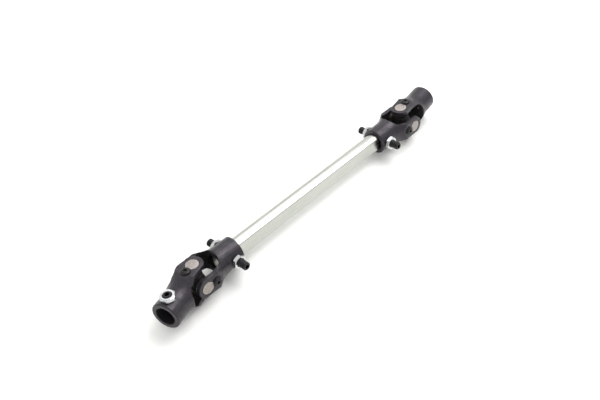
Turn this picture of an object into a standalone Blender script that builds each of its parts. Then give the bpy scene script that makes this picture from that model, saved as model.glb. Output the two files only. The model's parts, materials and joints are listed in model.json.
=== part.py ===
"""Double universal joint shaft.

A flat-sided steering bar carries one forged yoke at each end. Every yoke is joined to an outer yoke by a
cross on four needle bearings. The bar lies along X. Each joint swings on two pins that cross at its centre:
an upright pin held by the outer yoke and a level pin held by the inner yoke.

A yoke is drawn in its own frame: X runs from the joint centre to the end of the hub, Z along the pin that
the yoke holds, and Y across the ears. Lengths are metres.
"""
import math

import bmesh
import bpy
from mathutils import Matrix, Vector

MM = 0.001
GAP = 0.2 * MM

# Whole assembly, as it lies: each lower ear rests on its lock screw and its rear edge
JOINT_SPACING = 298.0 * MM
LEAN = math.radians(8.7)
BAR_SLOPE = math.radians(-0.07)
YAW = {"input": math.radians(18.0), "output": math.radians(7.5)}
LIFT = {"input": math.radians(2.2), "output": math.radians(3.7)}

# Centre bar: round with two flats
BAR_RADIUS = 9.525 * MM
BAR_HALF_FLAT = 6.5 * MM
BAR_END_FROM_JOINT = 25.5 * MM
BAR_CHAMFER = 0.9 * MM

# Yokes
YOKE_LENGTH = 48.0 * MM
HUB_RADIUS = 13.8 * MM
HUB_CHAMFER = 0.8 * MM
BORE_CHAMFER = 0.4 * MM
OUTER_BORE_RADIUS = 9.2 * MM
INNER_BORE_RADIUS = 9.75 * MM
EAR_FACE = 18.3 * MM
EAR_INSIDE = 13.3 * MM
EAR_HALF_WIDTH = 9.6 * MM
EAR_TIP_RADIUS = 10.4 * MM
BLANK_RADIUS = 20.9 * MM
FLARE_START = 12.8 * MM
FLARE_END = 34.0 * MM
FLARE_POWER = 2.4
CHEEK_START = 9.0 * MM
CHEEK_END = 25.0 * MM
CHEEK_POWER = 1.6
THROAT_DEPTH = 23.5 * MM
THROAT_CORNER = 8.5 * MM
SET_HOLE_START = 3.0 * MM

# Bearing cups, needles and seals
CUP_RADIUS = 6.3 * MM
CUP_INSIDE = 10.4 * MM
CUP_FLOOR = 1.4 * MM
CUP_BORE_RADIUS = 5.3 * MM
CUP_EDGE = 0.4 * MM
TRUNNION_RADIUS = 3.8 * MM
NEEDLE_RADIUS = 0.6 * MM
NEEDLE_COUNT = 10
NEEDLE_FROM_MOUTH = 0.4 * MM
NEEDLE_FROM_FLOOR = 0.3 * MM
CAGE_HALF_WALL = 0.25 * MM
SEAL_RADIUS = 6.0 * MM
SEAL_THICKNESS = 1.3 * MM

# Cross
SHOULDER = 8.5 * MM
SHOULDER_RADIUS = 6.0 * MM
SHOULDER_TAPER = 2.0 * MM
TRUNNION_CHAMFER = 0.5 * MM
CROSS_WAIST = 7.2 * MM

# Lock screw beside each cup
LOCK_SCREW_PLACE = 10.3 * MM
LOCK_HEAD_RADIUS = 4.75 * MM
LOCK_HEAD_HEIGHT = 1.9 * MM
LOCK_SHANK_RADIUS = 2.5 * MM
LOCK_SHANK_LENGTH = 4.6 * MM
LOCK_SOCKET_FLATS = 3.0 * MM
LOCK_SOCKET_DEPTH = 1.3 * MM

# Set screws and jam nuts in the hubs
SET_SCREW_PLACE = 39.0 * MM
SET_SCREW_RADIUS = 3.97 * MM
SET_SCREW_CHAMFER = 0.7 * MM
SET_SOCKET_FLATS = 4.0 * MM
SET_SOCKET_DEPTH = 3.5 * MM
INNER_SET_TOP = 26.5 * MM
OUTER_SET_TOP = 18.8 * MM
NUT_FLATS = 12.7 * MM
NUT_HEIGHT = 4.0 * MM
NUT_TURN = {"input_upper": 0.0, "input_front": 48.0, "input_rear": 50.0,
            "output_lower": 20.0, "output_front": 42.0, "output_rear": 45.0}

YOKE_SIDES = 32
BORE_SIDES = 24
CUP_SIDES = 20
SCREW_SIDES = 16
LOCK_SIDES = 14
SMALL_SIDES = 12
FLARE_STEPS = 6
TIP_STEPS = 14
CHEEK_STEPS = 5
CORNER_STEPS = 7
SHARP_ANGLE = math.radians(32.0)

# How far a cutter passes through what it cuts
PAST = 1.0 * MM
THROAT_REACH = 30.0 * MM
FLAT_REACH = 20.0 * MM


# ---------------------------------------------------------------- shapes

def new_mesh(bm):
    """Close a bmesh into a mesh with its faces pointing out and round faces shaded smooth."""
    bmesh.ops.remove_doubles(bm, verts=bm.verts, dist=1e-7)
    bmesh.ops.recalc_face_normals(bm, faces=bm.faces)
    mesh = bpy.data.meshes.new("shape")
    bm.to_mesh(mesh)
    bm.free()
    mesh.shade_smooth()
    mesh.set_sharp_from_angle(angle=SHARP_ANGLE)
    return mesh


def turned(outline, sides, hollow=False):
    """Turn an outline of (height, radius) points about Z. A hollow outline is a closed loop."""
    bm = bmesh.new()
    rings = []
    for height, radius in outline:
        ring = []
        for i in range(sides):
            turn = 2.0 * math.pi * (i + 0.5) / sides
            ring.append(bm.verts.new((radius * math.cos(turn), radius * math.sin(turn), height)))
        rings.append(ring)
    pairs = list(zip(rings, rings[1:]))
    if hollow:
        pairs.append((rings[-1], rings[0]))
    else:
        bm.faces.new(rings[0])
        bm.faces.new(rings[-1])
    for low, high in pairs:
        for i in range(sides):
            j = (i + 1) % sides
            bm.faces.new((low[i], low[j], high[j], high[i]))
    return new_mesh(bm)


def prism(outline, low, high):
    """Extrude an outline of (x, y) points from height low to height high."""
    bm = bmesh.new()
    face = bm.faces.new([bm.verts.new((x, y, low)) for x, y in outline])
    grown = bmesh.ops.extrude_face_region(bm, geom=[face])
    top = [item for item in grown["geom"] if isinstance(item, bmesh.types.BMVert)]
    bmesh.ops.translate(bm, verts=top, vec=(0.0, 0.0, high - low))
    return new_mesh(bm)


def arc(centre, radius, start, end, steps):
    """Points on an arc, with angles in degrees."""
    points = []
    for i in range(steps + 1):
        turn = math.radians(start + (end - start) * i / steps)
        points.append((centre[0] + radius * math.cos(turn), centre[1] + radius * math.sin(turn)))
    return points


def hexagon(flats):
    """Corners of a hexagon of the given width across its flats."""
    return arc((0.0, 0.0), flats / math.sqrt(3.0), 0.0, 300.0, 5)


def place(mesh, matrix):
    """A moved copy of a mesh, for use as a cutter or as one solid of a group."""
    copy = mesh.copy()
    copy.transform(matrix)
    return copy


def along_x(distance=0.0):
    """Turn a shape drawn about Z so that it lies along X, starting at the distance."""
    return Matrix.Translation((distance, 0.0, 0.0)) @ Matrix.Rotation(math.pi / 2.0, 4, "Y")


def combine(mesh, steps):
    """Cut, intersect or unite a mesh with others, given as (operation, mesh) pairs."""
    body = bpy.data.objects.new("blank", mesh)
    bpy.context.scene.collection.objects.link(body)
    tools = []
    for operation, tool_mesh in steps:
        tool = bpy.data.objects.new("tool", tool_mesh)
        tool.hide_render = True
        tool.display_type = "WIRE"
        bpy.context.scene.collection.objects.link(tool)
        modifier = body.modifiers.new(operation.lower(), "BOOLEAN")
        modifier.operation = operation
        modifier.solver = "EXACT"
        modifier.object = tool
        tools.append(tool)
    bpy.context.view_layer.update()
    shaped = bpy.data.meshes.new_from_object(body.evaluated_get(bpy.context.evaluated_depsgraph_get()))
    for used in tools + [body]:
        bpy.data.objects.remove(used)
    bm = bmesh.new()
    bm.from_mesh(shaped)
    bmesh.ops.dissolve_degenerate(bm, edges=bm.edges, dist=1e-6)
    return new_mesh(bm)


# ---------------------------------------------------------------- pieces

def yoke_blank():
    """The lathe-turned blank: hub, concave flare and the wide drum that the ears are milled from."""
    drop = BLANK_RADIUS - HUB_RADIUS
    outline = [(-EAR_TIP_RADIUS - PAST, BLANK_RADIUS), (FLARE_START, BLANK_RADIUS)]
    for i in range(1, FLARE_STEPS + 1):
        part = i / FLARE_STEPS
        outline.append((FLARE_START + part * (FLARE_END - FLARE_START),
                        HUB_RADIUS + drop * (1.0 - part) ** FLARE_POWER))
    outline.append((YOKE_LENGTH - HUB_CHAMFER, HUB_RADIUS))
    outline.append((YOKE_LENGTH, HUB_RADIUS - HUB_CHAMFER))
    mesh = turned(outline, YOKE_SIDES)
    mesh.transform(along_x())
    return mesh


def ear_outline():
    """The yoke seen along its pin: a round tip, parallel sides, and cheeks that widen to the hub."""
    width = EAR_HALF_WIDTH
    start = math.degrees(math.asin(width / EAR_TIP_RADIUS))
    tip = arc((0.0, 0.0), EAR_TIP_RADIUS, 180.0 - start, 180.0 + start, TIP_STEPS)
    reach = HUB_RADIUS + PAST
    cheek = []
    for i in range(CHEEK_STEPS + 1):
        part = i / CHEEK_STEPS
        side = width + (reach - width) * part ** CHEEK_POWER
        cheek.append((CHEEK_START + (CHEEK_END - CHEEK_START) * part, side))
    low = [(x, -y) for x, y in cheek]
    end = YOKE_LENGTH + PAST
    return tip + low + [(end, -reach), (end, reach)] + cheek[::-1]


def throat_outline():
    """The gap between the ears, seen from the side: parallel walls and a round bottom."""
    corner = THROAT_CORNER
    floor = THROAT_DEPTH - corner
    upper = arc((floor, EAR_INSIDE - corner), corner, 90.0, 0.0, CORNER_STEPS)
    lower = arc((floor, corner - EAR_INSIDE), corner, 0.0, -90.0, CORNER_STEPS)
    mouth = -EAR_TIP_RADIUS - 2.0 * PAST
    return [(mouth, EAR_INSIDE)] + upper + lower + [(mouth, -EAR_INSIDE)]


def yoke(bore_radius, screw_sides):
    """A yoke. screw_sides gives the pin-axis directions, +1 or -1, that have a set screw."""
    ears = prism(ear_outline(), -EAR_FACE, EAR_FACE)
    throat = prism(throat_outline(), -THROAT_REACH, THROAT_REACH)
    throat.transform(Matrix.Rotation(math.pi / 2.0, 4, "X"))
    end = YOKE_LENGTH + PAST
    chamfer = BORE_CHAMFER + PAST
    bore = turned([(0.0, bore_radius), (YOKE_LENGTH - BORE_CHAMFER, bore_radius),
                   (end, bore_radius + chamfer)], BORE_SIDES)
    bore.transform(along_x())
    pin_radius = CUP_RADIUS + GAP
    pin_hole = turned([(-EAR_FACE - PAST, pin_radius), (EAR_FACE + PAST, pin_radius)], CUP_SIDES)
    lock_radius = LOCK_SHANK_RADIUS + GAP
    lock_hole = turned([(-EAR_FACE - PAST, lock_radius), (EAR_FACE + PAST, lock_radius)], SMALL_SIDES)
    lock_hole.transform(Matrix.Translation((LOCK_SCREW_PLACE, 0.0, 0.0)))
    steps = [("INTERSECT", ears), ("DIFFERENCE", throat), ("DIFFERENCE", bore),
             ("DIFFERENCE", pin_hole), ("DIFFERENCE", lock_hole)]
    screw_radius = SET_SCREW_RADIUS + GAP
    for side in screw_sides:
        ends = sorted((side * SET_HOLE_START, side * (HUB_RADIUS + 2.0 * PAST)))
        hole = turned([(ends[0], screw_radius), (ends[1], screw_radius)], SCREW_SIDES)
        hole.transform(Matrix.Translation((SET_SCREW_PLACE, 0.0, 0.0)))
        steps.append(("DIFFERENCE", hole))
    return combine(yoke_blank(), steps)


def cross():
    """Two turned spindles united at right angles: one along Z, one along Y."""
    tip = EAR_FACE - CUP_FLOOR - 1.5 * GAP
    half = [(0.0, CROSS_WAIST), (SHOULDER - SHOULDER_TAPER, CROSS_WAIST), (SHOULDER, SHOULDER_RADIUS),
            (SHOULDER, TRUNNION_RADIUS), (tip - TRUNNION_CHAMFER, TRUNNION_RADIUS),
            (tip, TRUNNION_RADIUS - TRUNNION_CHAMFER)]
    outline = [(-x, r) for x, r in half[:0:-1]] + half[1:]
    upright = turned(outline, SCREW_SIDES)
    level = place(upright, Matrix.Rotation(math.pi / 2.0, 4, "X"))
    return combine(upright, [("UNION", level)])


def bearing_cup():
    """A cup closed at the ear's face and open towards the cross."""
    floor = EAR_FACE - CUP_FLOOR
    edge = CUP_EDGE
    outline = [(floor, CUP_BORE_RADIUS), (CUP_INSIDE, CUP_BORE_RADIUS), (CUP_INSIDE, CUP_RADIUS - edge),
               (CUP_INSIDE + edge, CUP_RADIUS), (EAR_FACE - edge, CUP_RADIUS), (EAR_FACE, CUP_RADIUS - edge)]
    return turned(outline, CUP_SIDES)


def needle_bearing():
    """The caged needles between a cup and its trunnion, as one fluted ring."""
    pitch = (CUP_BORE_RADIUS + TRUNNION_RADIUS) / 2.0
    low = CUP_INSIDE + NEEDLE_FROM_MOUTH
    high = EAR_FACE - CUP_FLOOR - NEEDLE_FROM_FLOOR
    bm = bmesh.new()
    loops = []
    for height in (low, high):
        for side in (1.0, -1.0):
            loop = []
            for i in range(2 * NEEDLE_COUNT):
                turn = math.pi * i / NEEDLE_COUNT
                radius = pitch + side * (CAGE_HALF_WALL if i % 2 else NEEDLE_RADIUS)
                loop.append(bm.verts.new((radius * math.cos(turn), radius * math.sin(turn), height)))
            loops.append(loop)
    outer_low, inner_low, outer_high, inner_high = loops
    count = len(outer_low)
    for i in range(count):
        j = (i + 1) % count
        for first, second in ((outer_low, outer_high), (outer_high, inner_high),
                              (inner_high, inner_low), (inner_low, outer_low)):
            bm.faces.new((first[i], first[j], second[j], second[i]))
    return new_mesh(bm)


def seal():
    """The rubber ring between the mouth of a cup and the shoulder of the cross."""
    inner = TRUNNION_RADIUS + GAP
    high = CUP_INSIDE - GAP
    low = high - SEAL_THICKNESS
    return turned([(low, inner), (low, SEAL_RADIUS), (high, SEAL_RADIUS), (high, inner)],
                  SMALL_SIDES, hollow=True)


def lock_screw():
    """A low button-head screw whose head laps over the edge of the cup beside it."""
    base = EAR_FACE + GAP
    top = base + LOCK_HEAD_HEIGHT
    flat = 0.55 * LOCK_HEAD_RADIUS
    outline = [(base - LOCK_SHANK_LENGTH, LOCK_SHANK_RADIUS), (base, LOCK_SHANK_RADIUS),
               (base, LOCK_HEAD_RADIUS), (base + 0.3 * LOCK_HEAD_HEIGHT, LOCK_HEAD_RADIUS),
               (base + 0.75 * LOCK_HEAD_HEIGHT, 0.82 * LOCK_HEAD_RADIUS), (top, flat)]
    socket = prism(hexagon(LOCK_SOCKET_FLATS), top - LOCK_SOCKET_DEPTH, top + PAST)
    mesh = combine(turned(outline, LOCK_SIDES), [("DIFFERENCE", socket)])
    mesh.transform(Matrix.Translation((LOCK_SCREW_PLACE, 0.0, 0.0)))
    return mesh


def set_screw(tip, top):
    """A headless screw with a hexagon socket, along Z at the set screws' place on the hub."""
    edge = SET_SCREW_CHAMFER
    outline = [(tip, SET_SCREW_RADIUS - 1.5 * edge), (tip + 1.5 * edge, SET_SCREW_RADIUS),
               (top - edge, SET_SCREW_RADIUS), (top, SET_SCREW_RADIUS - edge)]
    socket = prism(hexagon(SET_SOCKET_FLATS), top - SET_SOCKET_DEPTH, top + PAST)
    mesh = combine(turned(outline, SCREW_SIDES), [("DIFFERENCE", socket)])
    mesh.transform(Matrix.Translation((SET_SCREW_PLACE, 0.0, 0.0)))
    return mesh


def jam_nut(turn):
    """A thin hexagon nut on a set screw, seated on the hub and left at the given turn."""
    base = HUB_RADIUS + GAP
    top = base + NUT_HEIGHT
    thread = SET_SCREW_RADIUS + GAP
    hole = turned([(base - PAST, thread), (top + PAST, thread)], SCREW_SIDES)
    mesh = combine(prism(hexagon(NUT_FLATS), base, top), [("DIFFERENCE", hole)])
    mesh.transform(Matrix.Translation((SET_SCREW_PLACE, 0.0, 0.0)) @ Matrix.Rotation(turn, 4, "Z"))
    return mesh


def centre_bar():
    """The double-D bar between the inner yokes, its flats facing front and back."""
    half = JOINT_SPACING / 2.0 - BAR_END_FROM_JOINT
    edge = BAR_CHAMFER
    rod = turned([(-half, BAR_RADIUS - edge), (edge - half, BAR_RADIUS), (half - edge, BAR_RADIUS),
                  (half, BAR_RADIUS - edge)], YOKE_SIDES)
    rod.transform(along_x())
    reach = half + PAST
    flat = BAR_HALF_FLAT
    slab = prism([(-reach, -flat), (reach, -flat), (reach, flat), (-reach, flat)], -FLAT_REACH, FLAT_REACH)
    return combine(rod, [("INTERSECT", slab)])


# ---------------------------------------------------------------- assembly

def material(name, colour, roughness, metallic):
    shader = bpy.data.materials.new(name)
    shader.use_nodes = True
    bsdf = shader.node_tree.nodes["Principled BSDF"]
    bsdf.inputs["Base Color"].default_value = (*colour, 1.0)
    bsdf.inputs["Roughness"].default_value = roughness
    bsdf.inputs["Metallic"].default_value = metallic
    return shader


def empty(name, parent, matrix):
    """A joint or yoke frame, placed relative to its parent."""
    frame = bpy.data.objects.new(name, None)
    frame.empty_display_size = 10.0 * MM
    bpy.context.scene.collection.objects.link(frame)
    frame.parent = parent
    frame.matrix_local = matrix
    return frame


def piece(name, mesh, shader, parent, matrix=Matrix.Identity(4)):
    """One named part of the assembly, with a mesh that it may share with its twins."""
    body = bpy.data.objects.new(name, mesh)
    bpy.context.scene.collection.objects.link(body)
    body.parent = parent
    body.matrix_local = matrix
    if not mesh.materials:
        mesh.materials.append(shader)
    return body


def clear_scene():
    for item in list(bpy.data.objects):
        bpy.data.objects.remove(item)


def build():
    clear_scene()
    black = material("black_oxide_steel", (0.065, 0.058, 0.063), 0.42, 0.6)
    cup_steel = material("ground_bearing_steel", (0.47, 0.43, 0.41), 0.38, 0.8)
    zinc = material("zinc_plated_steel", (0.80, 0.81, 0.78), 0.25, 1.0)
    screw_black = material("black_screw_steel", (0.02, 0.018, 0.02), 0.45, 0.5)
    needle_steel = material("bearing_needle_steel", (0.6, 0.6, 0.6), 0.2, 1.0)
    rubber = material("seal_rubber", (0.02, 0.02, 0.02), 0.8, 0.0)

    yokes = {"inner": yoke(INNER_BORE_RADIUS, (1, -1)), "outer": yoke(OUTER_BORE_RADIUS, (1,))}
    screws = {"inner": set_screw(BAR_HALF_FLAT + 1.5 * GAP, INNER_SET_TOP),
              "outer": set_screw(OUTER_BORE_RADIUS, OUTER_SET_TOP)}
    spider = cross()
    ear_pieces = (("bearing_cup", bearing_cup(), cup_steel),
                  ("needle_bearing", needle_bearing(), needle_steel),
                  ("seal", seal(), rubber),
                  ("lock_screw", lock_screw(), screw_black))

    root = empty("shaft_frame", None, Matrix.Rotation(BAR_SLOPE, 4, "Y") @ Matrix.Rotation(-LEAN, 4, "X"))
    piece("centre_bar", centre_bar(), zinc, root)
    flip = Matrix.Rotation(math.pi, 4, "X")
    pin_to_front = Matrix.Rotation(math.pi / 2.0, 4, "X")
    turn_back = Matrix.Rotation(math.pi, 4, "Z")

    for end in ("input", "output"):
        near = end == "input"
        centre = Matrix.Translation(((-0.5 if near else 0.5) * JOINT_SPACING, 0.0, 0.0))
        away = turn_back if near else Matrix.Identity(4)
        inner = empty(end + "_inner_frame", root, centre @ away @ turn_back @ pin_to_front)
        swing = empty(end + "_cross_joint", root, centre @ away @ Matrix.Rotation(-LIFT[end], 4, "Y"))
        outer = empty(end + "_outer_joint", swing, Matrix.Rotation(YAW[end], 4, "Z"))
        rolled = empty(end + "_outer_frame", outer, Matrix.Identity(4) if near else flip)
        piece(end + "_cross", spider, black, swing)

        level_sides = ("front", "rear") if near else ("rear", "front")
        upright_sides = ("upper", "lower") if near else ("lower", "upper")
        places = (("inner", inner, level_sides), ("outer", rolled, upright_sides))
        for ring, frame, sides in places:
            piece(end + "_" + ring + "_yoke", yokes[ring], black, frame)
            for side, turn in zip(sides, (Matrix.Identity(4), flip)):
                label = end + "_" + side + "_"
                for name, mesh, shader in ear_pieces:
                    piece(label + name, mesh, shader, frame, turn)
                if ring == "inner" or side == sides[0]:
                    piece(label + "set_screw", screws[ring], screw_black, frame, turn)
                    nut = jam_nut(math.radians(NUT_TURN[end + "_" + side]))
                    piece(label + "jam_nut", nut, zinc, frame, turn)


def stand_on_floor():
    """Move the assembly so that its box stands centred on the origin."""
    bpy.context.view_layer.update()
    corners = []
    for item in bpy.data.objects:
        if item.type == "MESH":
            corners += [item.matrix_world @ vertex.co for vertex in item.data.vertices]
    low = Vector(min(corner[i] for corner in corners) for i in range(3))
    high = Vector(max(corner[i] for corner in corners) for i in range(3))
    middle = (low + high) / 2.0
    bpy.data.objects["shaft_frame"].location = (-middle.x, -middle.y, -low.z)
    bpy.context.view_layer.update()


build()
stand_on_floor()
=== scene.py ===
"""The looks of the double universal joint shaft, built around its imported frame.

Every CAD solid is stood for by a finely made piece: forged yokes with blended edges, threaded screws with
hexagon sockets, chamfered nuts, loose needles in their cages. Shapes are drawn in millimetres in the frame
of the yoke, cross or bar that they belong to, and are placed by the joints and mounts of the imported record.

A yoke's frame: X runs from the joint centre to the end of the hub, Z along the pin that the yoke holds, and
Y across the ears.
"""
import json
import math

import bmesh
import bpy
import numpy as np
from mathutils import Matrix, Vector


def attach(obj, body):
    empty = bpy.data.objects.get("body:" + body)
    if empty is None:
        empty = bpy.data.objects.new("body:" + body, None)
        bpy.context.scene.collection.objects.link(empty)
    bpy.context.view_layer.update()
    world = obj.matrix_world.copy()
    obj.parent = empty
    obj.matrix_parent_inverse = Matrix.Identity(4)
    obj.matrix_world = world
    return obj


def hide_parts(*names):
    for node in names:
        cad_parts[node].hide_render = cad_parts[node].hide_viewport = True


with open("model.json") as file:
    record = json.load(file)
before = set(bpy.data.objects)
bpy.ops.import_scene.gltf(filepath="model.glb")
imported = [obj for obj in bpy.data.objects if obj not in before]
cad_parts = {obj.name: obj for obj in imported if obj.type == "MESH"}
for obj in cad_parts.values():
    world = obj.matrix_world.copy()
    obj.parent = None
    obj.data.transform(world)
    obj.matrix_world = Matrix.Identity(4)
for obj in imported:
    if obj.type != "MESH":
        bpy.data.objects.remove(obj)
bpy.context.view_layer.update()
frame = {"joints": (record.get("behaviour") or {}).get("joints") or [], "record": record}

MM = 0.001
GAP = 0.2

# Centre bar
BAR_RADIUS = 9.525
BAR_HALF_FLAT = 6.5
BAR_END_FROM_JOINT = 25.5
BAR_CHAMFER = 0.9
BAR_CORNER = 0.5
BAR_SIDES = 96

# Yokes
YOKE_LENGTH = 48.0
HUB_RADIUS = 13.75
HUB_CHAMFER = 0.8
BORE_CHAMFER = 0.5
BORE_RADIUS = {"outer": 9.2, "inner": 9.75}
EAR_FACE = 18.28
EAR_INSIDE = 13.3
EAR_HALF_WIDTH = 9.6
EAR_TIP_RADIUS = 10.38
BLANK_RADIUS = 20.85
FLARE = (12.8, 34.0)
FLARE_POWER = 2.4
CHEEK = (9.0, 25.0)
CHEEK_POWER = 1.6
CHEEK_STANDS_PROUD = 1.0
THROAT_DEPTH = 23.5
THROAT_CORNER = 8.5
SET_SCREW_SIDES = {"inner": (1, -1), "outer": (1,)}
SET_HOLE_START = 3.0
# How far each of a yoke's edges is rounded over.
YOKE_EDGES = {"hub": 0.3, "tip": 0.4, "face": 1.6, "ear": 0.6, "throat": 0.8, "bore": 0.3, "cup": 0.45,
              "lock_hole": 0.3, "set_floor": 0.3, "set_hole": 0.5}

# Bearing cups, needles, seals and cross
CUP_RADIUS = 6.3
CUP_INSIDE = 10.4
CUP_FLOOR = 1.4
CUP_BORE_RADIUS = 5.3
CUP_EDGE = 0.35
CUP_SHADE_LINE = 0.4
CUP_LIP_DEPTH = 0.5
CUP_LIP_WIDTH = 0.3
CUP_SIDES = 64
TRUNNION_RADIUS = 3.8
TRUNNION_FROM_FLOOR = 0.3
NEEDLE_RADIUS = 0.6
NEEDLE_COUNT = 16
NEEDLE_SIDES = 12
NEEDLE_FROM_MOUTH = 0.4
NEEDLE_ROUNDING = 80.0
CAGE_HEIGHT = 0.5
CAGE_HALF_WIDTH = 0.3
CAGE_OVERHANG = 0.15
CAGE_SIDES = 48
SEAL_RADIUS = 6.0
SEAL_THICKNESS = 1.3
SEAL_GAP = 0.15
# The seal's bevel inside, then its outline outside: the drop from its top and the inset from its radius.
SEAL_BEVEL = (0.2, 0.5)
SEAL_BACK = ((0.0, 0.4), (0.3, 0.0), (0.8, 0.0), (1.0, 0.6), (SEAL_THICKNESS, 0.5), (SEAL_THICKNESS, 1.1))
SEAL_SIDES = 48
SHOULDER = 8.5
SHOULDER_TAPER = 2.0
SHOULDER_SLOPE = 0.6
CROSS_WAIST = 7.2
CROSS_HALF_WIDTH = 9.0
# How far each of a cross's edges is rounded over or filleted.
CROSS_EDGES = {"shoulder": 0.5, "trunnion_end": 0.6, "trunnion_root": 0.8, "middle": 2.5}

# Lock screws
LOCK_PLACE = 10.3
LOCK_HEAD_RADIUS = 4.7
LOCK_HEAD_HEIGHT = 1.9
LOCK_HEAD_EDGE = 0.2
LOCK_HEAD_BAND = 0.45
LOCK_DOME_SHARE = 0.5
LOCK_DOME_STEPS = 6
LOCK_SHANK_RADIUS = 2.5
LOCK_SHANK_LENGTH = 4.6
LOCK_NECK = 0.4
LOCK_PITCH = 0.8
LOCK_SOCKET = 3.0
LOCK_SOCKET_DEPTH = 1.3

# Set screws and jam nuts
SET_PLACE = 39.0
SET_RADIUS = 3.95
SET_CHAMFER = 0.7
SET_POINT_WIDTH = 1.6
SET_POINT_LENGTH = 1.2
SET_SOCKET = 4.0
SET_SOCKET_DEPTH = 3.5
SET_TIP_GAP = 0.3
SET_TIP = {"inner": BAR_HALF_FLAT + SET_TIP_GAP, "outer": BORE_RADIUS["outer"]}
SET_TOP = {"inner": 26.48, "outer": 18.8}
SCREW_SIDES = 60
THREAD_PITCH = 1.06
THREAD_DEPTH = 0.45
THREAD_VEE = 2.3
THREAD_RINGS_PER_TURN = 6.0
SOCKET_LEAD_STARTS = 0.25
SOCKET_LEAD_ENDS = 0.3
DRILL_TIP_RADIUS = 0.05
# Shares of the width across a socket's or a nut's flats.
SOCKET_RIM_SHARE = 0.6
DRILL_RADIUS_SHARE = 0.46
DRILL_POINT_SHARE = 0.2
NUT_FACE_SHARE = 0.475
NUT_FLATS = 12.7
NUT_SIDES = 72
NUT_HEIGHT = 4.0
NUT_SEAT = 0.25
NUT_CHAMFER = math.radians(29.0)
NUT_CORNER = 0.12
NUT_THREAD_GAP = 0.15
NUT_COUNTERSINK = 0.45
NUT_SHARP_ANGLE = math.radians(22.0)
NUT_TURN = {"input_upper": 0.0, "input_front": 48.0, "input_rear": 50.0,
            "output_lower": 20.0, "output_front": 42.0, "output_rear": 45.0}

# Meshing. DIAGONAL turns a sum of two lengths into the distance from a 45 degree chamfer.
SURFACE_STEP = 0.4
SURFACE_AIR = 1.0
SETTLING_PASSES = 4
FLATTEST = 0.2
DIAGONAL = 1.414
WELD = 1e-4
TINY = 1e-6
SHARP_ANGLE = math.radians(35.0)
OWN_PLACE = "own_place"
OCCLUSION_SAMPLES = 12


# ---------------------------------------------------------------- frames

def axes(origin, along, pin):
    """A frame at the origin with X along one direction and Z as near as can be to another."""
    x = Vector(along).normalized()
    y = Vector(pin).cross(x).normalized()
    z = x.cross(y)
    turn = Matrix((x, y, z)).transposed().to_4x4()
    return Matrix.Translation(origin) @ turn


def find_frames():
    """The frame of the bar and of each cross and yoke, from the record's joints and mounts."""
    joints = {joint["name"]: joint for joint in frame["joints"]}
    mounts = {mount["name"]: mount for mount in frame["record"]["mounts"]}
    centres = {end: Vector(joints[end + "_pitch"]["pos_m"]) for end in ("input", "output")}
    along = (centres["output"] - centres["input"]).normalized()
    level = Vector(joints["input_pitch"]["axis"])
    found = {"bar": axes((centres["input"] + centres["output"]) / 2.0, along, along.cross(level))}
    for end, sign in (("input", 1.0), ("output", -1.0)):
        upright = Vector(joints[end + "_yaw"]["axis"])
        hub = Vector(mounts[end + "_hub_face"]["axis"])
        found[end, "inner"] = axes(centres[end], sign * along, -sign * level)
        found[end, "outer"] = axes(centres[end], hub, sign * upright)
        found[end, "cross"] = axes(centres[end], level.cross(upright), upright)
    found["spacing"] = (centres["output"] - centres["input"]).length / MM
    return found


# ---------------------------------------------------------------- shapes

def finish_mesh(bm, sharp=SHARP_ANGLE):
    """Close a bmesh drawn in millimetres into a mesh in metres."""
    bmesh.ops.remove_doubles(bm, verts=bm.verts, dist=WELD)
    bmesh.ops.recalc_face_normals(bm, faces=bm.faces)
    bmesh.ops.scale(bm, verts=bm.verts, vec=(MM, MM, MM))
    mesh = bpy.data.meshes.new("shape")
    bm.to_mesh(mesh)
    bm.free()
    mesh.shade_smooth()
    mesh.set_sharp_from_angle(angle=sharp)
    return mesh


def circle(radius):
    return lambda turn: radius


def hexagon(flats, limit=math.inf, rubbed=0.0):
    """Radius of a hexagon at an angle.

    limit is the radius of a circle that trims its corners, and rubbed is how far they are worn back.
    """
    def radius(turn):
        side = (turn + math.pi / 6.0) % (math.pi / 3.0) - math.pi / 6.0
        return min(flats / 2.0 / math.cos(side), limit, flats / math.sqrt(3.0) - rubbed)
    return radius


def at_height(height):
    return lambda turn: height


def loft(bm, rings, sides, closed=False):
    """Skin rings given as (height, radius at an angle) about Z. A closed loft joins its ends.

    A height may be a number or, like the radius, a function of the angle.
    """
    loops = []
    for height, radius in rings:
        rise = height if callable(height) else at_height(height)
        loop = []
        for i in range(sides):
            turn = 2.0 * math.pi * i / sides
            reach = radius(turn)
            loop.append(bm.verts.new((reach * math.cos(turn), reach * math.sin(turn), rise(turn))))
        loops.append(loop)
    pairs = list(zip(loops, loops[1:]))
    if closed:
        pairs.append((loops[-1], loops[0]))
    else:
        bm.faces.new(loops[0])
        bm.faces.new(loops[-1])
    for low, high in pairs:
        for i in range(sides):
            j = (i + 1) % sides
            bm.faces.new((low[i], low[j], high[j], high[i]))


def turned(outline, sides, closed=False):
    """Turn an outline of (height, radius) points about Z."""
    bm = bmesh.new()
    loft(bm, [(height, circle(radius)) for height, radius in outline], sides, closed)
    return finish_mesh(bm)


def corner(centre, radius, start, end, steps=4):
    """Points (height, radius) round a turned corner. Angles in degrees, 0 pointing outward."""
    points = []
    for i in range(steps + 1):
        turn = math.radians(start + (end - start) * i / steps)
        points.append((centre[0] + radius * math.sin(turn), centre[1] + radius * math.cos(turn)))
    return points


def blend_max(a, b, width):
    """The larger of two fields, rounded over where they cross."""
    share = np.clip(0.5 + 0.5 * (a - b) / width, 0.0, 1.0)
    return b + (a - b) * share + width * share * (1.0 - share)


def blend_min(a, b, width):
    """The smaller of two fields, filleted where they cross."""
    return -blend_max(-a, -b, width)


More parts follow.
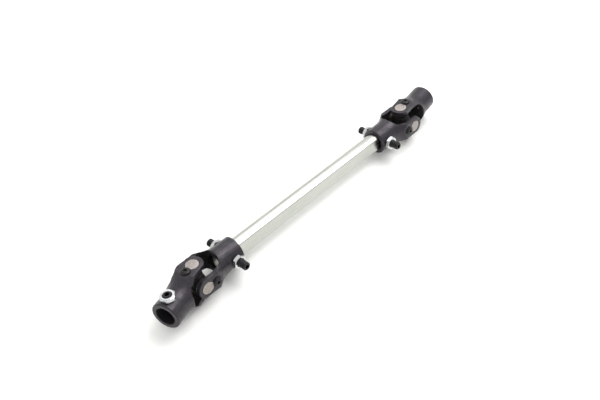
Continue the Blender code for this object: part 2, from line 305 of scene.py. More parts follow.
def slope_of(field, points):
    """Gradient of a field at each point, by central differences."""
    nudge = 1e-3
    slopes = []
    for axis in range(3):
        step = np.zeros(3)
        step[axis] = nudge
        ahead = field(*(points + step).T)
        behind = field(*(points - step).T)
        slopes.append((ahead - behind) / (2.0 * nudge))
    return np.stack(slopes, axis=1)


def skin(field, low, high, step):
    """Closed quad mesh of the surface where a field is zero, with points and normals from the field.

    Each grid cell that the surface passes through gets one point, at the mean of the places where the
    surface crosses the cell's edges. Each crossed edge gives a quad between the four cells around it.
    The points then settle onto the surface along the field's slope.
    """
    spans = [np.arange(low[axis], high[axis] + step, step) for axis in range(3)]
    value = field(*np.meshgrid(*spans, indexing="ij", sparse=True))
    shape = np.array(value.shape)
    strides = np.array((shape[1] * shape[2], shape[2], 1))
    quads = []
    crossings = []
    for axis in range(3):
        lower = [slice(None)] * 3
        upper = [slice(None)] * 3
        lower[axis] = slice(0, -1)
        upper[axis] = slice(1, None)
        before = value[tuple(lower)]
        after = value[tuple(upper)]
        spot = np.argwhere((before < 0.0) != (after < 0.0))
        first = before[tuple(spot.T)]
        second = after[tuple(spot.T)]
        place = spot.astype(float)
        place[:, axis] += first / (first - second)
        home = spot @ strides
        one = strides[(axis + 1) % 3]
        two = strides[(axis + 2) % 3]
        ring = np.stack((home, home - one, home - one - two, home - two), axis=1)
        leaving = first < 0.0
        ring[~leaving] = ring[~leaving][:, ::-1]
        quads.append(ring)
        crossings.append(np.repeat(place, 4, axis=0))
    quads = np.concatenate(quads)
    crossings = np.concatenate(crossings)
    corner_of = np.unique(quads.ravel(), return_inverse=True)[1].ravel()
    count = np.bincount(corner_of)
    points = np.stack([np.bincount(corner_of, crossings[:, axis]) / count for axis in range(3)], axis=1)
    points = points * step + np.array([span[0] for span in spans])
    for _ in range(SETTLING_PASSES):
        slope = slope_of(field, points)
        steepness = np.maximum((slope ** 2).sum(axis=1), FLATTEST)
        move = (field(*points.T) / steepness)[:, None] * slope
        points = points - np.clip(move, -step, step)
    normals = slope_of(field, points)
    normals /= np.linalg.norm(normals, axis=1)[:, None]
    mesh = bpy.data.meshes.new("shape")
    mesh.from_pydata((points * MM).tolist(), [], corner_of.reshape(-1, 4).tolist())
    mesh.shade_smooth()
    mesh.normals_split_custom_set_from_vertices(normals.tolist())
    return mesh


# ---------------------------------------------------------------- forged pieces

def flare_radius(x):
    """Radius of the turned blank along the yoke: drum, concave flare, hub."""
    part = np.clip((x - FLARE[0]) / (FLARE[1] - FLARE[0]), 0.0, 1.0)
    return HUB_RADIUS + (BLANK_RADIUS - HUB_RADIUS) * (1.0 - part) ** FLARE_POWER


def flare_slope(x):
    """How steeply the flare closes in, to turn radial gaps into true distances."""
    part = np.clip((x - FLARE[0]) / (FLARE[1] - FLARE[0]), 0.0, 1.0)
    fall = (BLANK_RADIUS - HUB_RADIUS) * FLARE_POWER * (1.0 - part) ** (FLARE_POWER - 1.0)
    return np.where(x > FLARE[0], fall / (FLARE[1] - FLARE[0]), 0.0)


def yoke_field(kind):
    """The yoke as a field: negative inside, zero on its surface."""
    bore_radius = BORE_RADIUS[kind]
    edge = YOKE_EDGES

    def field(x, y, z):
        across = np.abs(y)
        outward = np.abs(z)
        radial = np.hypot(y, z)
        blank = (radial - flare_radius(x)) / np.sqrt(1.0 + flare_slope(x) ** 2)
        chamfer = (x + radial - YOKE_LENGTH - HUB_RADIUS + HUB_CHAMFER) / DIAGONAL
        end = blend_max(x - YOKE_LENGTH, chamfer, edge["hub"])
        hub = blend_max(blank, end, edge["hub"])

        part = np.clip((x - CHEEK[0]) / (CHEEK[1] - CHEEK[0]), 0.0, 1.0)
        widening = (HUB_RADIUS + CHEEK_STANDS_PROUD - EAR_HALF_WIDTH) * part ** CHEEK_POWER
        cheek = across - EAR_HALF_WIDTH - widening
        tip = np.where(x < 0.0, np.hypot(x, y) - EAR_TIP_RADIUS, -EAR_TIP_RADIUS)
        ear = blend_max(cheek, tip, edge["tip"])
        body = blend_max(blend_max(hub, outward - EAR_FACE, edge["face"]), ear, edge["ear"])

        side = x - THROAT_DEPTH + THROAT_CORNER
        rise = outward - EAR_INSIDE + THROAT_CORNER
        throat = np.hypot(np.maximum(side, 0.0), np.maximum(rise, 0.0))
        throat = throat + np.minimum(np.maximum(side, rise), 0.0) - THROAT_CORNER
        body = blend_max(body, -throat, edge["throat"])

        bore = radial - bore_radius
        mouth = (radial - bore_radius - BORE_CHAMFER + YOKE_LENGTH - x) / DIAGONAL
        body = blend_max(body, -np.minimum(bore, mouth), edge["bore"])

        body = blend_max(body, CUP_RADIUS + GAP - np.hypot(x, y), edge["cup"])
        lock_hole = np.hypot(x - LOCK_PLACE, y) - LOCK_SHANK_RADIUS - GAP
        body = blend_max(body, -lock_hole, edge["lock_hole"])
        screw = np.hypot(x - SET_PLACE, y) - SET_RADIUS - GAP
        for sign in SET_SCREW_SIDES[kind]:
            set_hole = blend_max(screw, SET_HOLE_START - sign * z, edge["set_floor"])
            body = blend_max(body, -set_hole, edge["set_hole"])
        return body

    return field


def yoke(kind):
    side = HUB_RADIUS + CHEEK_STANDS_PROUD + SURFACE_AIR
    low = (-EAR_TIP_RADIUS - SURFACE_AIR, -side, -BLANK_RADIUS)
    high = (YOKE_LENGTH + SURFACE_AIR, side, BLANK_RADIUS)
    return skin(yoke_field(kind), low, high, SURFACE_STEP)


def cross_field(x, y, z):
    """Two spindles at right angles, filleted together, with ground trunnions at their ends."""
    edge = CROSS_EDGES
    end = EAR_FACE - CUP_FLOOR - TRUNNION_FROM_FLOOR
    arms = []
    for along, radial in ((np.abs(z), np.hypot(x, y)), (np.abs(y), np.hypot(x, z))):
        taper = radial - CROSS_WAIST + np.maximum(along - SHOULDER + SHOULDER_TAPER, 0.0) * SHOULDER_SLOPE
        shoulder = blend_max(taper, along - SHOULDER, edge["shoulder"])
        trunnion = blend_max(radial - TRUNNION_RADIUS, along - end, edge["trunnion_end"])
        arms.append(blend_min(shoulder, trunnion, edge["trunnion_root"]))
    return blend_min(arms[0], arms[1], edge["middle"])


def cross():
    low = (-CROSS_HALF_WIDTH, -EAR_FACE, -EAR_FACE)
    high = (CROSS_HALF_WIDTH, EAR_FACE, EAR_FACE)
    return skin(cross_field, low, high, SURFACE_STEP)


def centre_bar(spacing):
    """The double-D bar: two arcs and two flats, joined by small round corners, with chamfered ends."""
    half = spacing / 2.0 - BAR_END_FROM_JOINT

    def section(shrink):
        def radius(turn):
            flat = (BAR_HALF_FLAT - shrink) / max(abs(math.sin(turn)), TINY)
            round_part = BAR_RADIUS - shrink
            gap = flat - round_part
            share = min(max(0.5 - 0.5 * gap / BAR_CORNER, 0.0), 1.0)
            return round_part + gap * share - BAR_CORNER * share * (1.0 - share)
        return radius

    bm = bmesh.new()
    lengths = [(-half, BAR_CHAMFER), (BAR_CHAMFER - half, 0.0)]
    lengths += [(half - BAR_CHAMFER, 0.0), (half, BAR_CHAMFER)]
    loft(bm, [(height, section(shrink)) for height, shrink in lengths], BAR_SIDES)
    mesh = finish_mesh(bm)
    mesh.transform(Matrix.Rotation(math.pi / 2.0, 4, "Y"))
    return mesh


# ---------------------------------------------------------------- ear pieces

def bearing_cup():
    """A drawn cup: a ground end face with a fine round edge, and a mouth bevelled towards its bore."""
    outline = [(EAR_FACE - CUP_FLOOR, CUP_BORE_RADIUS), (CUP_INSIDE + CUP_LIP_DEPTH, CUP_BORE_RADIUS)]
    outline += [(CUP_INSIDE, CUP_BORE_RADIUS + CUP_LIP_WIDTH)]
    outline += corner((CUP_INSIDE + CUP_EDGE, CUP_RADIUS - CUP_EDGE), CUP_EDGE, -90.0, 0.0)
    outline += corner((EAR_FACE - CUP_EDGE, CUP_RADIUS - CUP_EDGE), CUP_EDGE, 0.0, 90.0)
    return turned(outline, CUP_SIDES)


def needle_bearing():
    """Round-ended needles between two cage rings."""
    pitch = (CUP_BORE_RADIUS + TRUNNION_RADIUS) / 2.0
    low = CUP_INSIDE + NEEDLE_FROM_MOUTH
    high = EAR_FACE - CUP_FLOOR - TRUNNION_FROM_FLOOR
    outline = corner((low + NEEDLE_RADIUS, 0.0), NEEDLE_RADIUS, -NEEDLE_ROUNDING, 0.0)
    outline += corner((high - NEEDLE_RADIUS, 0.0), NEEDLE_RADIUS, 0.0, NEEDLE_ROUNDING)
    bm = bmesh.new()
    for i in range(NEEDLE_COUNT):
        turn = 2.0 * math.pi * i / NEEDLE_COUNT
        start = len(bm.verts)
        loft(bm, [(height, circle(reach)) for height, reach in outline], NEEDLE_SIDES)
        bm.verts.ensure_lookup_table()
        shift = (pitch * math.cos(turn), pitch * math.sin(turn), 0.0)
        bmesh.ops.translate(bm, verts=bm.verts[start:], vec=shift)
    inside = circle(pitch - CAGE_HALF_WIDTH)
    outside = circle(pitch + CAGE_HALF_WIDTH)
    for base in (low - CAGE_OVERHANG, high + CAGE_OVERHANG - CAGE_HEIGHT):
        top = base + CAGE_HEIGHT
        walls = [(base, inside), (base, outside), (top, outside), (top, inside)]
        loft(bm, walls, CAGE_SIDES, closed=True)
    return finish_mesh(bm)


def seal():
    """A lipped rubber ring: a bevelled back towards the cup and a thin lip towards the cross."""
    inner = TRUNNION_RADIUS + SEAL_GAP
    high = CUP_INSIDE - SEAL_GAP
    low = high - SEAL_THICKNESS
    rise, width = SEAL_BEVEL
    outline = [(low, inner + width), (low + rise, inner), (high, inner)]
    outline += [(high - drop, SEAL_RADIUS - inset) for drop, inset in SEAL_BACK]
    return turned(outline, SEAL_SIDES, closed=True)


# ---------------------------------------------------------------- screws and nuts

def socket_rings(top, flats, depth):
    """Rings from a rim down a hexagon socket to its drilled point."""
    rim = flats * SOCKET_RIM_SHARE
    point = top - depth - flats * DRILL_POINT_SHARE
    return [(top, circle(rim)), (top - SOCKET_LEAD_STARTS, hexagon(flats, rim)),
            (top - SOCKET_LEAD_ENDS, hexagon(flats)), (top - depth, hexagon(flats)),
            (top - depth, circle(flats * DRILL_RADIUS_SHARE)), (point, circle(DRILL_TIP_RADIUS))]


def lock_screw():
    """A low button-head screw with a hexagon socket and a threaded shank."""
    base = EAR_FACE + GAP
    top = base + LOCK_HEAD_HEIGHT
    rings = thread_rings(base - LOCK_SHANK_LENGTH, base - LOCK_NECK, LOCK_SHANK_RADIUS, LOCK_PITCH)
    rings += [(base, circle(LOCK_SHANK_RADIUS)), (base, circle(LOCK_HEAD_RADIUS - LOCK_HEAD_EDGE))]
    rings += [(base + rise, circle(LOCK_HEAD_RADIUS)) for rise in (LOCK_HEAD_EDGE, LOCK_HEAD_BAND)]
    flat = LOCK_DOME_SHARE * LOCK_HEAD_RADIUS
    for i in range(1, LOCK_DOME_STEPS + 1):
        turn = i / LOCK_DOME_STEPS * math.pi / 2.0
        reach = flat + (LOCK_HEAD_RADIUS - flat) * math.cos(turn)
        rise = LOCK_HEAD_BAND + (LOCK_HEAD_HEIGHT - LOCK_HEAD_BAND) * math.sin(turn)
        rings.append((base + rise, circle(reach)))
    rings += socket_rings(top, LOCK_SOCKET, LOCK_SOCKET_DEPTH)
    bm = bmesh.new()
    loft(bm, rings, SCREW_SIDES)
    bmesh.ops.translate(bm, verts=bm.verts, vec=(LOCK_PLACE, 0.0, 0.0))
    return finish_mesh(bm)


def thread_rings(low, high, radius, pitch):
    """Rings whose radius follows a vee thread, which fades out at both ends."""
    rings = []
    count = max(2, int(round((high - low) / pitch * THREAD_RINGS_PER_TURN)))
    for i in range(count + 1):
        height = low + (high - low) * i / count
        fade = min(1.0, (height - low) / pitch, (high - height) / pitch)

        def reach(turn, height=height, fade=fade):
            phase = (height / pitch - turn / (2.0 * math.pi)) % 1.0
            groove = max(0.0, 1.0 - THREAD_VEE * abs(phase - 0.5))
            return radius - THREAD_DEPTH * groove * fade
        rings.append((height, reach))
    return rings


def set_screw(kind):
    """A headless screw: chamfered point, cut thread, chamfered top and a hexagon socket."""
    tip = SET_TIP[kind]
    top = SET_TOP[kind]
    rings = [(tip, circle(SET_RADIUS - SET_POINT_WIDTH))]
    rings += thread_rings(tip + SET_POINT_LENGTH, top - SET_CHAMFER, SET_RADIUS, THREAD_PITCH)
    rings += [(top, circle(SET_RADIUS - SET_CHAMFER))]
    rings += socket_rings(top, SET_SOCKET, SET_SOCKET_DEPTH)
    bm = bmesh.new()
    loft(bm, rings, SCREW_SIDES)
    bmesh.ops.translate(bm, verts=bm.verts, vec=(SET_PLACE, 0.0, 0.0))
    return finish_mesh(bm)


def jam_nut(turn):
    """A thin hexagon nut, chamfered on both faces, seated on the hub at the given turn in degrees."""
    base = HUB_RADIUS + NUT_SEAT
    top = base + NUT_HEIGHT
    face = NUT_FLATS * NUT_FACE_SHARE
    hole = SET_RADIUS + NUT_THREAD_GAP
    wide = hole + NUT_COUNTERSINK
    side = hexagon(NUT_FLATS, rubbed=NUT_CORNER)

    def fall(angle):
        """How far the chamfer's cone has fallen where it meets the nut's side."""
        return (side(angle) - face) * math.tan(NUT_CHAMFER)

    rings = [(base + NUT_COUNTERSINK, circle(hole)), (base, circle(wide)), (base, circle(face)),
             (lambda angle: base + fall(angle), side), (lambda angle: top - fall(angle), side),
             (top, circle(face)), (top, circle(wide)), (top - NUT_COUNTERSINK, circle(hole))]
    bm = bmesh.new()
    loft(bm, rings, NUT_SIDES, closed=True)
    matrix = Matrix.Translation((SET_PLACE, 0.0, 0.0)) @ Matrix.Rotation(math.radians(turn), 4, "Z")
    bmesh.ops.transform(bm, matrix=matrix, verts=bm.verts)
    return finish_mesh(bm, NUT_SHARP_ANGLE)


# ---------------------------------------------------------------- materials

class Finish:
    """A Principled material with short ways to add the nodes that a finish needs."""

    def __init__(self, name, colour, roughness, metallic):
        self.material = bpy.data.materials.new(name)
        self.material.use_nodes = True
        self.tree = self.material.node_tree
        self.shader = self.tree.nodes["Principled BSDF"]
        self.shader.inputs["Base Color"].default_value = (*colour, 1.0)
        self.shader.inputs["Roughness"].default_value = roughness
        self.shader.inputs["Metallic"].default_value = metallic
        self.place = self.node("ShaderNodeAttribute", attribute_name=OWN_PLACE).outputs["Vector"]
        self.bumps = None

    def node(self, kind, **settings):
        made = self.tree.nodes.new(kind)
        for name, value in settings.items():
            setattr(made, name, value)
        return made

    def link(self, output, node, name):
        self.tree.links.new(output, node.inputs[name])

    def stretched(self, scale):
        """The piece's own coordinates in millimetres, stretched along each axis."""
        mapping = self.node("ShaderNodeMapping", vector_type="POINT")
        mapping.inputs["Scale"].default_value = scale
        self.link(self.place, mapping, "Vector")
        return mapping.outputs["Vector"]

    def noise(self, scale, detail, roughness, stretch=(1.0, 1.0, 1.0)):
        """Noise from about 0.3 to 0.7, fixed to the piece."""
        made = self.node("ShaderNodeTexNoise")
        made.inputs["Scale"].default_value = scale
        made.inputs["Detail"].default_value = detail
        made.inputs["Roughness"].default_value = roughness
        self.link(self.stretched(stretch), made, "Vector")
        return made.outputs["Fac"]

    def remap(self, value, low, high, to_low, to_high):
        """A value between low and high carried over to another range, and held at its ends."""
        made = self.node("ShaderNodeMapRange")
        made.inputs["From Min"].default_value = low
        made.inputs["From Max"].default_value = high
        made.inputs["To Min"].default_value = to_low
        made.inputs["To Max"].default_value = to_high
        self.link(value, made, "Value")
        return made.outputs["Result"]

    def combined(self, one, two, operation="MULTIPLY"):
        """Two linked values multiplied together, or joined by another operation."""
        made = self.node("ShaderNodeMath", operation=operation)
        self.tree.links.new(one, made.inputs[0])
        self.tree.links.new(two, made.inputs[1])
        return made.outputs["Value"]

    def tint(self, share, colour_a, colour_b):
        """A colour between two, by a share from 0 to 1."""
        made = self.node("ShaderNodeMix", data_type="RGBA")
        self.tree.links.new(share, made.inputs["Factor"])
        made.inputs[6].default_value = (*colour_a, 1.0)
        made.inputs[7].default_value = (*colour_b, 1.0)
        return made.outputs[2]

    def graded(self, value, low, high, colour_a, colour_b):
        """A colour that runs from one to another as a value goes from low to high."""
        return self.tint(self.remap(value, low, high, 0.0, 1.0), colour_a, colour_b)

    def mixed(self, share, colour_a, colour_b):
        """A colour between two linked colours."""
        made = self.node("ShaderNodeMix", data_type="RGBA")
        self.tree.links.new(share, made.inputs["Factor"])
        self.tree.links.new(colour_a, made.inputs[6])
        self.tree.links.new(colour_b, made.inputs[7])
        return made.outputs[2]

    def blend_value(self, share, number, value):
        """A number where the share is 0, giving way to a linked value where it is 1."""
        made = self.node("ShaderNodeMix", data_type="FLOAT")
        self.tree.links.new(share, made.inputs[0])
        made.inputs[2].default_value = number
        self.tree.links.new(value, made.inputs[3])
        return made.outputs[0]

    def worn_highlit_edges(self, low, high):
        """1 on outer edges and 0 elsewhere, from how sharply the surface bends."""
        bend = self.node("ShaderNodeNewGeometry").outputs["Pointiness"]
        return self.remap(bend, low, high, 0.0, 1.0)

    def unoccluded_share(self, distance, low, high):
        """1 on open surfaces, falling to 0 in the piece's own hollows, by ambient occlusion: it masks painted
        shade in the hollows, and rougher hollows where the finish isn't rubbed.
        """
        made = self.node("ShaderNodeAmbientOcclusion", samples=OCCLUSION_SAMPLES, only_local=True)
        made.inputs["Distance"].default_value = distance * MM
        return self.remap(made.outputs["AO"], low, high, 0.0, 1.0)

    def height(self, low, high):
        """0 below one height along the piece's own Z and 1 above another."""
        parts = self.node("ShaderNodeSeparateXYZ")
        self.link(self.place, parts, "Vector")
        return self.remap(parts.outputs["Z"], low, high, 0.0, 1.0)

    def bump(self, height, strength, distance):
        made = self.node("ShaderNodeBump")
        made.inputs["Strength"].default_value = strength
        made.inputs["Distance"].default_value = distance * MM
        self.link(height, made, "Height")
        if self.bumps is not None:
            self.link(self.bumps, made, "Normal")
        self.bumps = made.outputs["Normal"]
        self.link(self.bumps, self.shader, "Normal")

    def colour(self, output):
        self.link(output, self.shader, "Base Color")

    def roughness(self, output):
        self.link(output, self.shader, "Roughness")


def black_oxide():
    """Satin black oxide over turned and forged steel: axial streaks, lighter edges that are partly rubbed
    wear and partly painted highlight, and rough hollows painted near black as shade.
    """
    look = Finish("black_oxide", (0.018, 0.016, 0.020), roughness=0.34, metallic=0.0)
    look.shader.inputs["Specular IOR Level"].default_value = 0.42
    look.shader.inputs["Specular Tint"].default_value = (0.98, 0.92, 1.0, 1.0)
    streaks = look.noise(scale=1.0, detail=4.0, roughness=0.6, stretch=(0.06, 1.1, 1.1))
    patches = look.noise(scale=0.22, detail=3.0, roughness=0.6)
    grain = look.noise(scale=5.5, detail=2.0, roughness=0.5)
    scale = look.noise(scale=1.0, detail=3.0, roughness=0.6, stretch=(0.035, 0.34, 0.34))
    turned_skin = look.graded(streaks, 0.35, 0.7, (0.004, 0.003, 0.005), (0.028, 0.025, 0.031))
    cloudy = look.graded(patches, 0.35, 0.7, (0.006, 0.005, 0.009), (0.028, 0.023, 0.027))
    plain = look.mixed(look.remap(grain, 0.3, 0.7, 0.35, 0.65), turned_skin, cloudy)
    # Lighter outer edges: partly rubbed wear, partly painted highlight.
    edge = look.combined(look.worn_highlit_edges(0.55, 0.66), look.remap(grain, 0.35, 0.6, 0.2, 0.9))
    rubbed = look.mixed(edge, plain, look.tint(grain, (0.05, 0.045, 0.05), (0.11, 0.10, 0.10)))
    # Painted shade: the piece's own hollows are near black, by ambient occlusion.
    painted_hollow_shade = look.tint(grain, (0.001, 0.001, 0.001), (0.003, 0.003, 0.003))
    open_unshaded_share = look.unoccluded_share(30.0, 0.82, 0.94)
    look.colour(look.mixed(open_unshaded_share, painted_hollow_shade, rubbed))
    satin = look.remap(look.combined(scale, patches, "ADD"), 0.8, 1.2, 0.44, 0.22)
    look.roughness(look.blend_value(open_unshaded_share, 0.90, satin))
    look.bump(scale, strength=0.7, distance=0.30)
    look.bump(streaks, strength=0.6, distance=0.08)
    look.bump(grain, strength=0.35, distance=0.03)
    return look.material


def shaded_phosphate():
    """The cross's dark, matt and oily coating with a mottled grain, painted darker still as shade for the
    inside of the joints.
    """
    look = Finish("shaded_phosphate", (0.006, 0.006, 0.006), roughness=0.60, metallic=0.0)
    look.shader.inputs["Specular IOR Level"].default_value = 0.25
    mottle = look.noise(scale=0.7, detail=4.0, roughness=0.6)
    grain = look.noise(scale=6.0, detail=2.0, roughness=0.5)
    # Painted shade: the cross is near black to stand for the shade inside the joints, over its dark coating.
    look.colour(look.graded(mottle, 0.35, 0.7, (0.004, 0.004, 0.004), (0.012, 0.011, 0.011)))
    look.roughness(look.remap(mottle, 0.3, 0.7, 0.50, 0.70))
    look.bump(mottle, strength=0.25, distance=0.05)
    look.bump(grain, strength=0.25, distance=0.02)
    return look.material


def zinc_bar():
    """Bright zinc plate over drawn bar: long drawing lines, faint cloudy spangle, a green-grey cast."""
    look = Finish("zinc_plate", (0.49, 0.50, 0.46), roughness=0.24, metallic=1.0)
    lines = look.noise(scale=1.0, detail=4.0, roughness=0.65, stretch=(0.012, 2.4, 2.4))
    clouds = look.noise(scale=0.09, detail=4.0, roughness=0.6, stretch=(0.5, 1.0, 1.0))
    grain = look.noise(scale=7.0, detail=2.0, roughness=0.5)
    cast = look.graded(clouds, 0.35, 0.65, (0.445, 0.470, 0.415), (0.515, 0.52, 0.49))
    drawn = look.graded(lines, 0.3, 0.7, (0.45, 0.465, 0.43), (0.525, 0.53, 0.505))
    look.colour(look.mixed(look.remap(grain, 0.3, 0.7, 0.4, 0.6), cast, drawn))
    look.roughness(look.remap(lines, 0.3, 0.7, 0.20, 0.36))
    look.bump(lines, strength=0.10, distance=0.02)
    look.bump(grain, strength=0.08, distance=0.012)
    return look.material


def zinc_nut():
    """Clear zinc plate on a cold-formed nut: bright, slightly rippled, duller in patches."""
    look = Finish("zinc_nut", (0.56, 0.57, 0.575), roughness=0.22, metallic=1.0)
    clouds = look.noise(scale=0.5, detail=3.0, roughness=0.6)
    grain = look.noise(scale=4.0, detail=3.0, roughness=0.6)
    look.colour(look.graded(clouds, 0.3, 0.7, (0.50, 0.515, 0.52), (0.62, 0.63, 0.63)))
    look.roughness(look.remap(grain, 0.3, 0.7, 0.16, 0.30))
    look.bump(clouds, strength=0.15, distance=0.08)
    look.bump(grain, strength=0.15, distance=0.02)
    return look.material


def ground_steel():
    """A bearing cup: a matt, mottled end face with faint grinding rings, and a wall painted dark as shade."""
    look = Finish("ground_steel", (0.36, 0.33, 0.31), roughness=0.42, metallic=0.7)
    rings = look.node("ShaderNodeTexWave", wave_type="RINGS", rings_direction="Z")
    rings.inputs["Scale"].default_value = 0.9
    rings.inputs["Distortion"].default_value = 1.5
    rings.inputs["Detail"].default_value = 2.0
    look.link(look.stretched((1.0, 1.0, 1.0)), rings, "Vector")
    grit = look.noise(scale=4.5, detail=4.0, roughness=0.65)
    stain = look.noise(scale=0.45, detail=3.0, roughness=0.6)
    tone = look.graded(grit, 0.3, 0.7, (0.19, 0.170, 0.155), (0.44, 0.40, 0.375))
    warm = look.graded(stain, 0.35, 0.65, (0.20, 0.180, 0.160), (0.43, 0.395, 0.375))
    ground = look.mixed(look.remap(stain, 0.3, 0.7, 0.3, 0.7), tone, warm)
    # Painted shade: the cup's wall below its end face is dark, where the joint's inside lies in shade.
    painted_wall_shade = look.tint(grit, (0.05, 0.045, 0.04), (0.11, 0.10, 0.09))
    end_face = look.height(EAR_FACE - 2.0 * CUP_SHADE_LINE, EAR_FACE - CUP_SHADE_LINE)
    look.colour(look.mixed(end_face, painted_wall_shade, ground))
    look.roughness(look.remap(grit, 0.3, 0.7, 0.36, 0.55))
    look.bump(rings.outputs["Fac"], strength=0.12, distance=0.03)
    look.bump(grit, strength=0.25, distance=0.03)
    return look.material


def black_screw():
    """Oiled black oxide on alloy screws: darker than the yokes, with lighter edges that are partly wear and
    partly painted highlight, and painted shade in the hollows.
    """
    look = Finish("black_screw", (0.012, 0.011, 0.012), roughness=0.40, metallic=0.0)
    look.shader.inputs["Specular IOR Level"].default_value = 0.30
    patches = look.noise(scale=0.8, detail=3.0, roughness=0.6)
    grain = look.noise(scale=6.0, detail=2.0, roughness=0.5)
    dark = look.graded(patches, 0.35, 0.7, (0.004, 0.0035, 0.004), (0.012, 0.010, 0.011))
    # Lighter outer edges: partly rubbed wear, partly painted highlight.
    edge = look.combined(look.worn_highlit_edges(0.55, 0.68), look.remap(grain, 0.4, 0.6, 0.2, 0.8))
    rubbed = look.mixed(edge, dark, look.tint(grain, (0.05, 0.045, 0.045), (0.10, 0.09, 0.09)))
    # Painted shade: the screw's own hollows, such as its socket, are near black, by ambient occlusion.
    painted_hollow_shade = look.tint(grain, (0.001, 0.001, 0.001), (0.002, 0.002, 0.002))
    look.colour(look.mixed(look.unoccluded_share(4.0, 0.30, 0.75), painted_hollow_shade, rubbed))
    look.roughness(look.remap(grain, 0.3, 0.7, 0.28, 0.42))
    look.bump(grain, strength=0.20, distance=0.02)
    return look.material


def polished_needles():
    """Hardened needles with a light film of grease."""
    look = Finish("polished_needles", (0.62, 0.61, 0.60), roughness=0.16, metallic=1.0)
    film = look.noise(scale=1.5, detail=3.0, roughness=0.6)
    look.colour(look.graded(film, 0.35, 0.65, (0.50, 0.48, 0.44), (0.68, 0.67, 0.66)))
    look.roughness(look.remap(film, 0.3, 0.7, 0.12, 0.30))
    look.bump(film, strength=0.10, distance=0.02)
    return look.material


def seal_rubber():
    """Matt black nitrile with a moulded skin and a dusty bloom."""
    look = Finish("seal_rubber", (0.015, 0.015, 0.016), roughness=0.7, metallic=0.0)
    bloom = look.noise(scale=0.9, detail=4.0, roughness=0.6)
    grain = look.noise(scale=8.0, detail=2.0, roughness=0.6)
    look.colour(look.graded(bloom, 0.4, 0.7, (0.012, 0.012, 0.013), (0.028, 0.028, 0.030)))
    look.roughness(look.remap(bloom, 0.3, 0.7, 0.6, 0.8))
    look.bump(grain, strength=0.25, distance=0.03)
    return look.material


# ---------------------------------------------------------------- assembly

def add_piece(node, shape, finish, matrix, body):
    """Place a copy of a shape, let it ride on its body, and let it stand for its CAD node.

    The copy is moved into the part's frame, so it first keeps its own coordinates, in millimetres, for its
    finish.
    """
    mesh = shape.copy()
    own = np.empty(len(mesh.vertices) * 3, np.float32)
    mesh.vertices.foreach_get("co", own)
    mesh.attributes.new(OWN_PLACE, "FLOAT_VECTOR", "POINT").data.foreach_set("vector", own / MM)
    mesh.transform(matrix)
    mesh.materials.append(finish)
    piece = bpy.data.objects.new(node + "_finished", mesh)
    bpy.context.scene.collection.objects.link(piece)
    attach(piece, body)
    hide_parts(node)


def build_shaft():
    frames = find_frames()
    oxide = black_oxide()
    cross_coat_and_shade = shaded_phosphate()
    zinc = zinc_bar()
    bright = zinc_nut()
    screw_black = black_screw()
    ear_pieces = (("bearing_cup", bearing_cup(), ground_steel(), "ground_bearing_steel"),
                  ("needle_bearing", needle_bearing(), polished_needles(), "bearing_needle_steel"),
                  ("seal", seal(), seal_rubber(), "seal_rubber"),
                  ("lock_screw", lock_screw(), screw_black, "black_screw_steel"))
    yokes = {kind: yoke(kind) for kind in ("inner", "outer")}
    screws = {kind: set_screw(kind) for kind in ("inner", "outer")}
    spider = cross()
    flip = Matrix.Rotation(math.pi, 4, "X")
    sides_of = {("input", "inner"): ("front", "rear"), ("output", "inner"): ("rear", "front"),
                ("input", "outer"): ("upper", "lower"), ("output", "outer"): ("lower", "upper")}

    add_piece("centre_bar", centre_bar(frames["spacing"]), zinc,
              frames["bar"], "shaft")
    for end in ("input", "output"):
        add_piece(end + "_cross", spider, cross_coat_and_shade, frames[end, "cross"],
                  end + "_cross_body")
        for kind, body in (("inner", "shaft"), ("outer", end + "_outer")):
            place = frames[end, kind]
            add_piece(end + "_" + kind + "_yoke", yokes[kind], oxide, place, body)
            for side, turn in zip(sides_of[end, kind], (Matrix.Identity(4), flip)):
                label = end + "_" + side + "_"
                for name, mesh, finish, slot in ear_pieces:
                    add_piece(label + name, mesh, finish, place @ turn, body)
                if kind == "inner" or turn is not flip:
                    add_piece(label + "set_screw", screws[kind], screw_black,
                              place @ turn, body)
                    nut = jam_nut(NUT_TURN[end + "_" + side])
                    add_piece(label + "jam_nut", nut, bright, place @ turn, body)


# ---------------------------------------------------------------- stage

# The tent brightens along its tilt, from its dimmest at From Min to its brightest at From Max.
TENT_TILT = (0.0, 0.45, 0.89)
TENT_RISE = {"From Min": -0.40, "From Max": 0.55, "To Min": 0.78, "To Max": 1.03}
# Each softbox has a name, a place and a width in metres, and a radiance.
SOFTBOXES = (("overhead", (0.50, -0.06, 1.05), 0.80, 4.9), ("behind", (0.45, 0.66, 0.84), 0.60, 1.3))
FLOOR_HALF_WIDTH = 6.0
FLOOR_COLOUR = (0.89, 0.89, 0.868)
FLOOR_ROUGHNESS = 0.85
WHITE = (1.0, 1.0, 1.0, 1.0)
SENSOR_WIDTH = 36.0
CAMERA_LENS = 42.945
CAMERA_AT = Vector((-0.01477, -0.00108, 0.0201))
CAMERA_DISTANCE = 0.70436
CAMERA_AZIMUTH = math.radians(-46.348)
CAMERA_ELEVATION = math.radians(46.375)
CAMERA_ROLL = math.radians(-0.35)


def floor():
    """A wide pale floor that the shaft lies on."""
    bm = bmesh.new()
    bmesh.ops.create_grid(bm, x_segments=8, y_segments=8, size=FLOOR_HALF_WIDTH)
    mesh = bpy.data.meshes.new("floor")
    bm.to_mesh(mesh)
    bm.free()
    pale = bpy.data.materials.new("pale_floor")
    pale.use_nodes = True
    shader = pale.node_tree.nodes["Principled BSDF"]
    shader.inputs["Base Color"].default_value = (*FLOOR_COLOUR, 1.0)
    shader.inputs["Roughness"].default_value = FLOOR_ROUGHNESS
    mesh.materials.append(pale)
    ground = bpy.data.objects.new("floor", mesh)
    bpy.context.scene.collection.objects.link(ground)


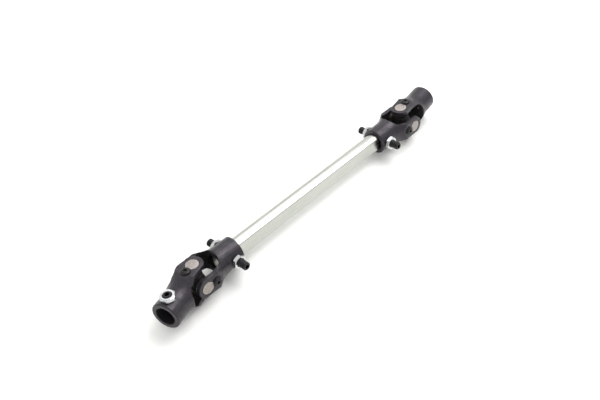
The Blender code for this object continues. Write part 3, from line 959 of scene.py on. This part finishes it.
def softbox(name, spot, size, radiance):
    """A square box of light that faces the middle of the shaft."""
    light = bpy.data.lights.new(name, "AREA")
    light.shape = "SQUARE"
    light.size = size
    light.energy = radiance * math.pi * size ** 2
    source = bpy.data.objects.new(name, light)
    bpy.context.scene.collection.objects.link(source)
    source.location = spot
    source.rotation_euler = Vector(spot).to_track_quat("Z", "Y").to_euler()


def stage_lights():
    """A white tent, brightest above and behind the shaft, and its softboxes."""
    world = bpy.data.worlds.new("tent")
    world.use_nodes = True
    nodes = world.node_tree.nodes
    links = world.node_tree.links
    direction = nodes.new("ShaderNodeTexCoord")
    tilt = nodes.new("ShaderNodeVectorMath")
    tilt.operation = "DOT_PRODUCT"
    tilt.inputs[1].default_value = TENT_TILT
    rise = nodes.new("ShaderNodeMapRange")
    rise.interpolation_type = "SMOOTHSTEP"
    for name, value in TENT_RISE.items():
        rise.inputs[name].default_value = value
    links.new(direction.outputs["Generated"], tilt.inputs[0])
    links.new(tilt.outputs["Value"], rise.inputs["Value"])
    links.new(rise.outputs["Result"], nodes["Background"].inputs["Strength"])
    nodes["Background"].inputs["Color"].default_value = WHITE
    bpy.context.scene.world = world
    for name, spot, size, radiance in SOFTBOXES:
        softbox(name, spot, size, radiance)


def camera():
    """The view down onto the shaft, with its input end nearest."""
    data = bpy.data.cameras.new("camera")
    data.lens = CAMERA_LENS
    data.sensor_width = SENSOR_WIDTH
    view = bpy.data.objects.new("camera", data)
    bpy.context.scene.collection.objects.link(view)
    level = math.cos(CAMERA_ELEVATION)
    back = Vector((math.sin(CAMERA_AZIMUTH) * level, -math.cos(CAMERA_AZIMUTH) * level,
                   math.sin(CAMERA_ELEVATION)))
    view.location = CAMERA_AT + CAMERA_DISTANCE * back
    facing = (-back).to_track_quat("-Z", "Y").to_matrix() @ Matrix.Rotation(CAMERA_ROLL, 3, "Z")
    view.rotation_euler = facing.to_euler()
    bpy.context.scene.camera = view


bpy.context.scene.view_settings.view_transform = "Standard"
build_shaft()
floor()
stage_lights()
camera()
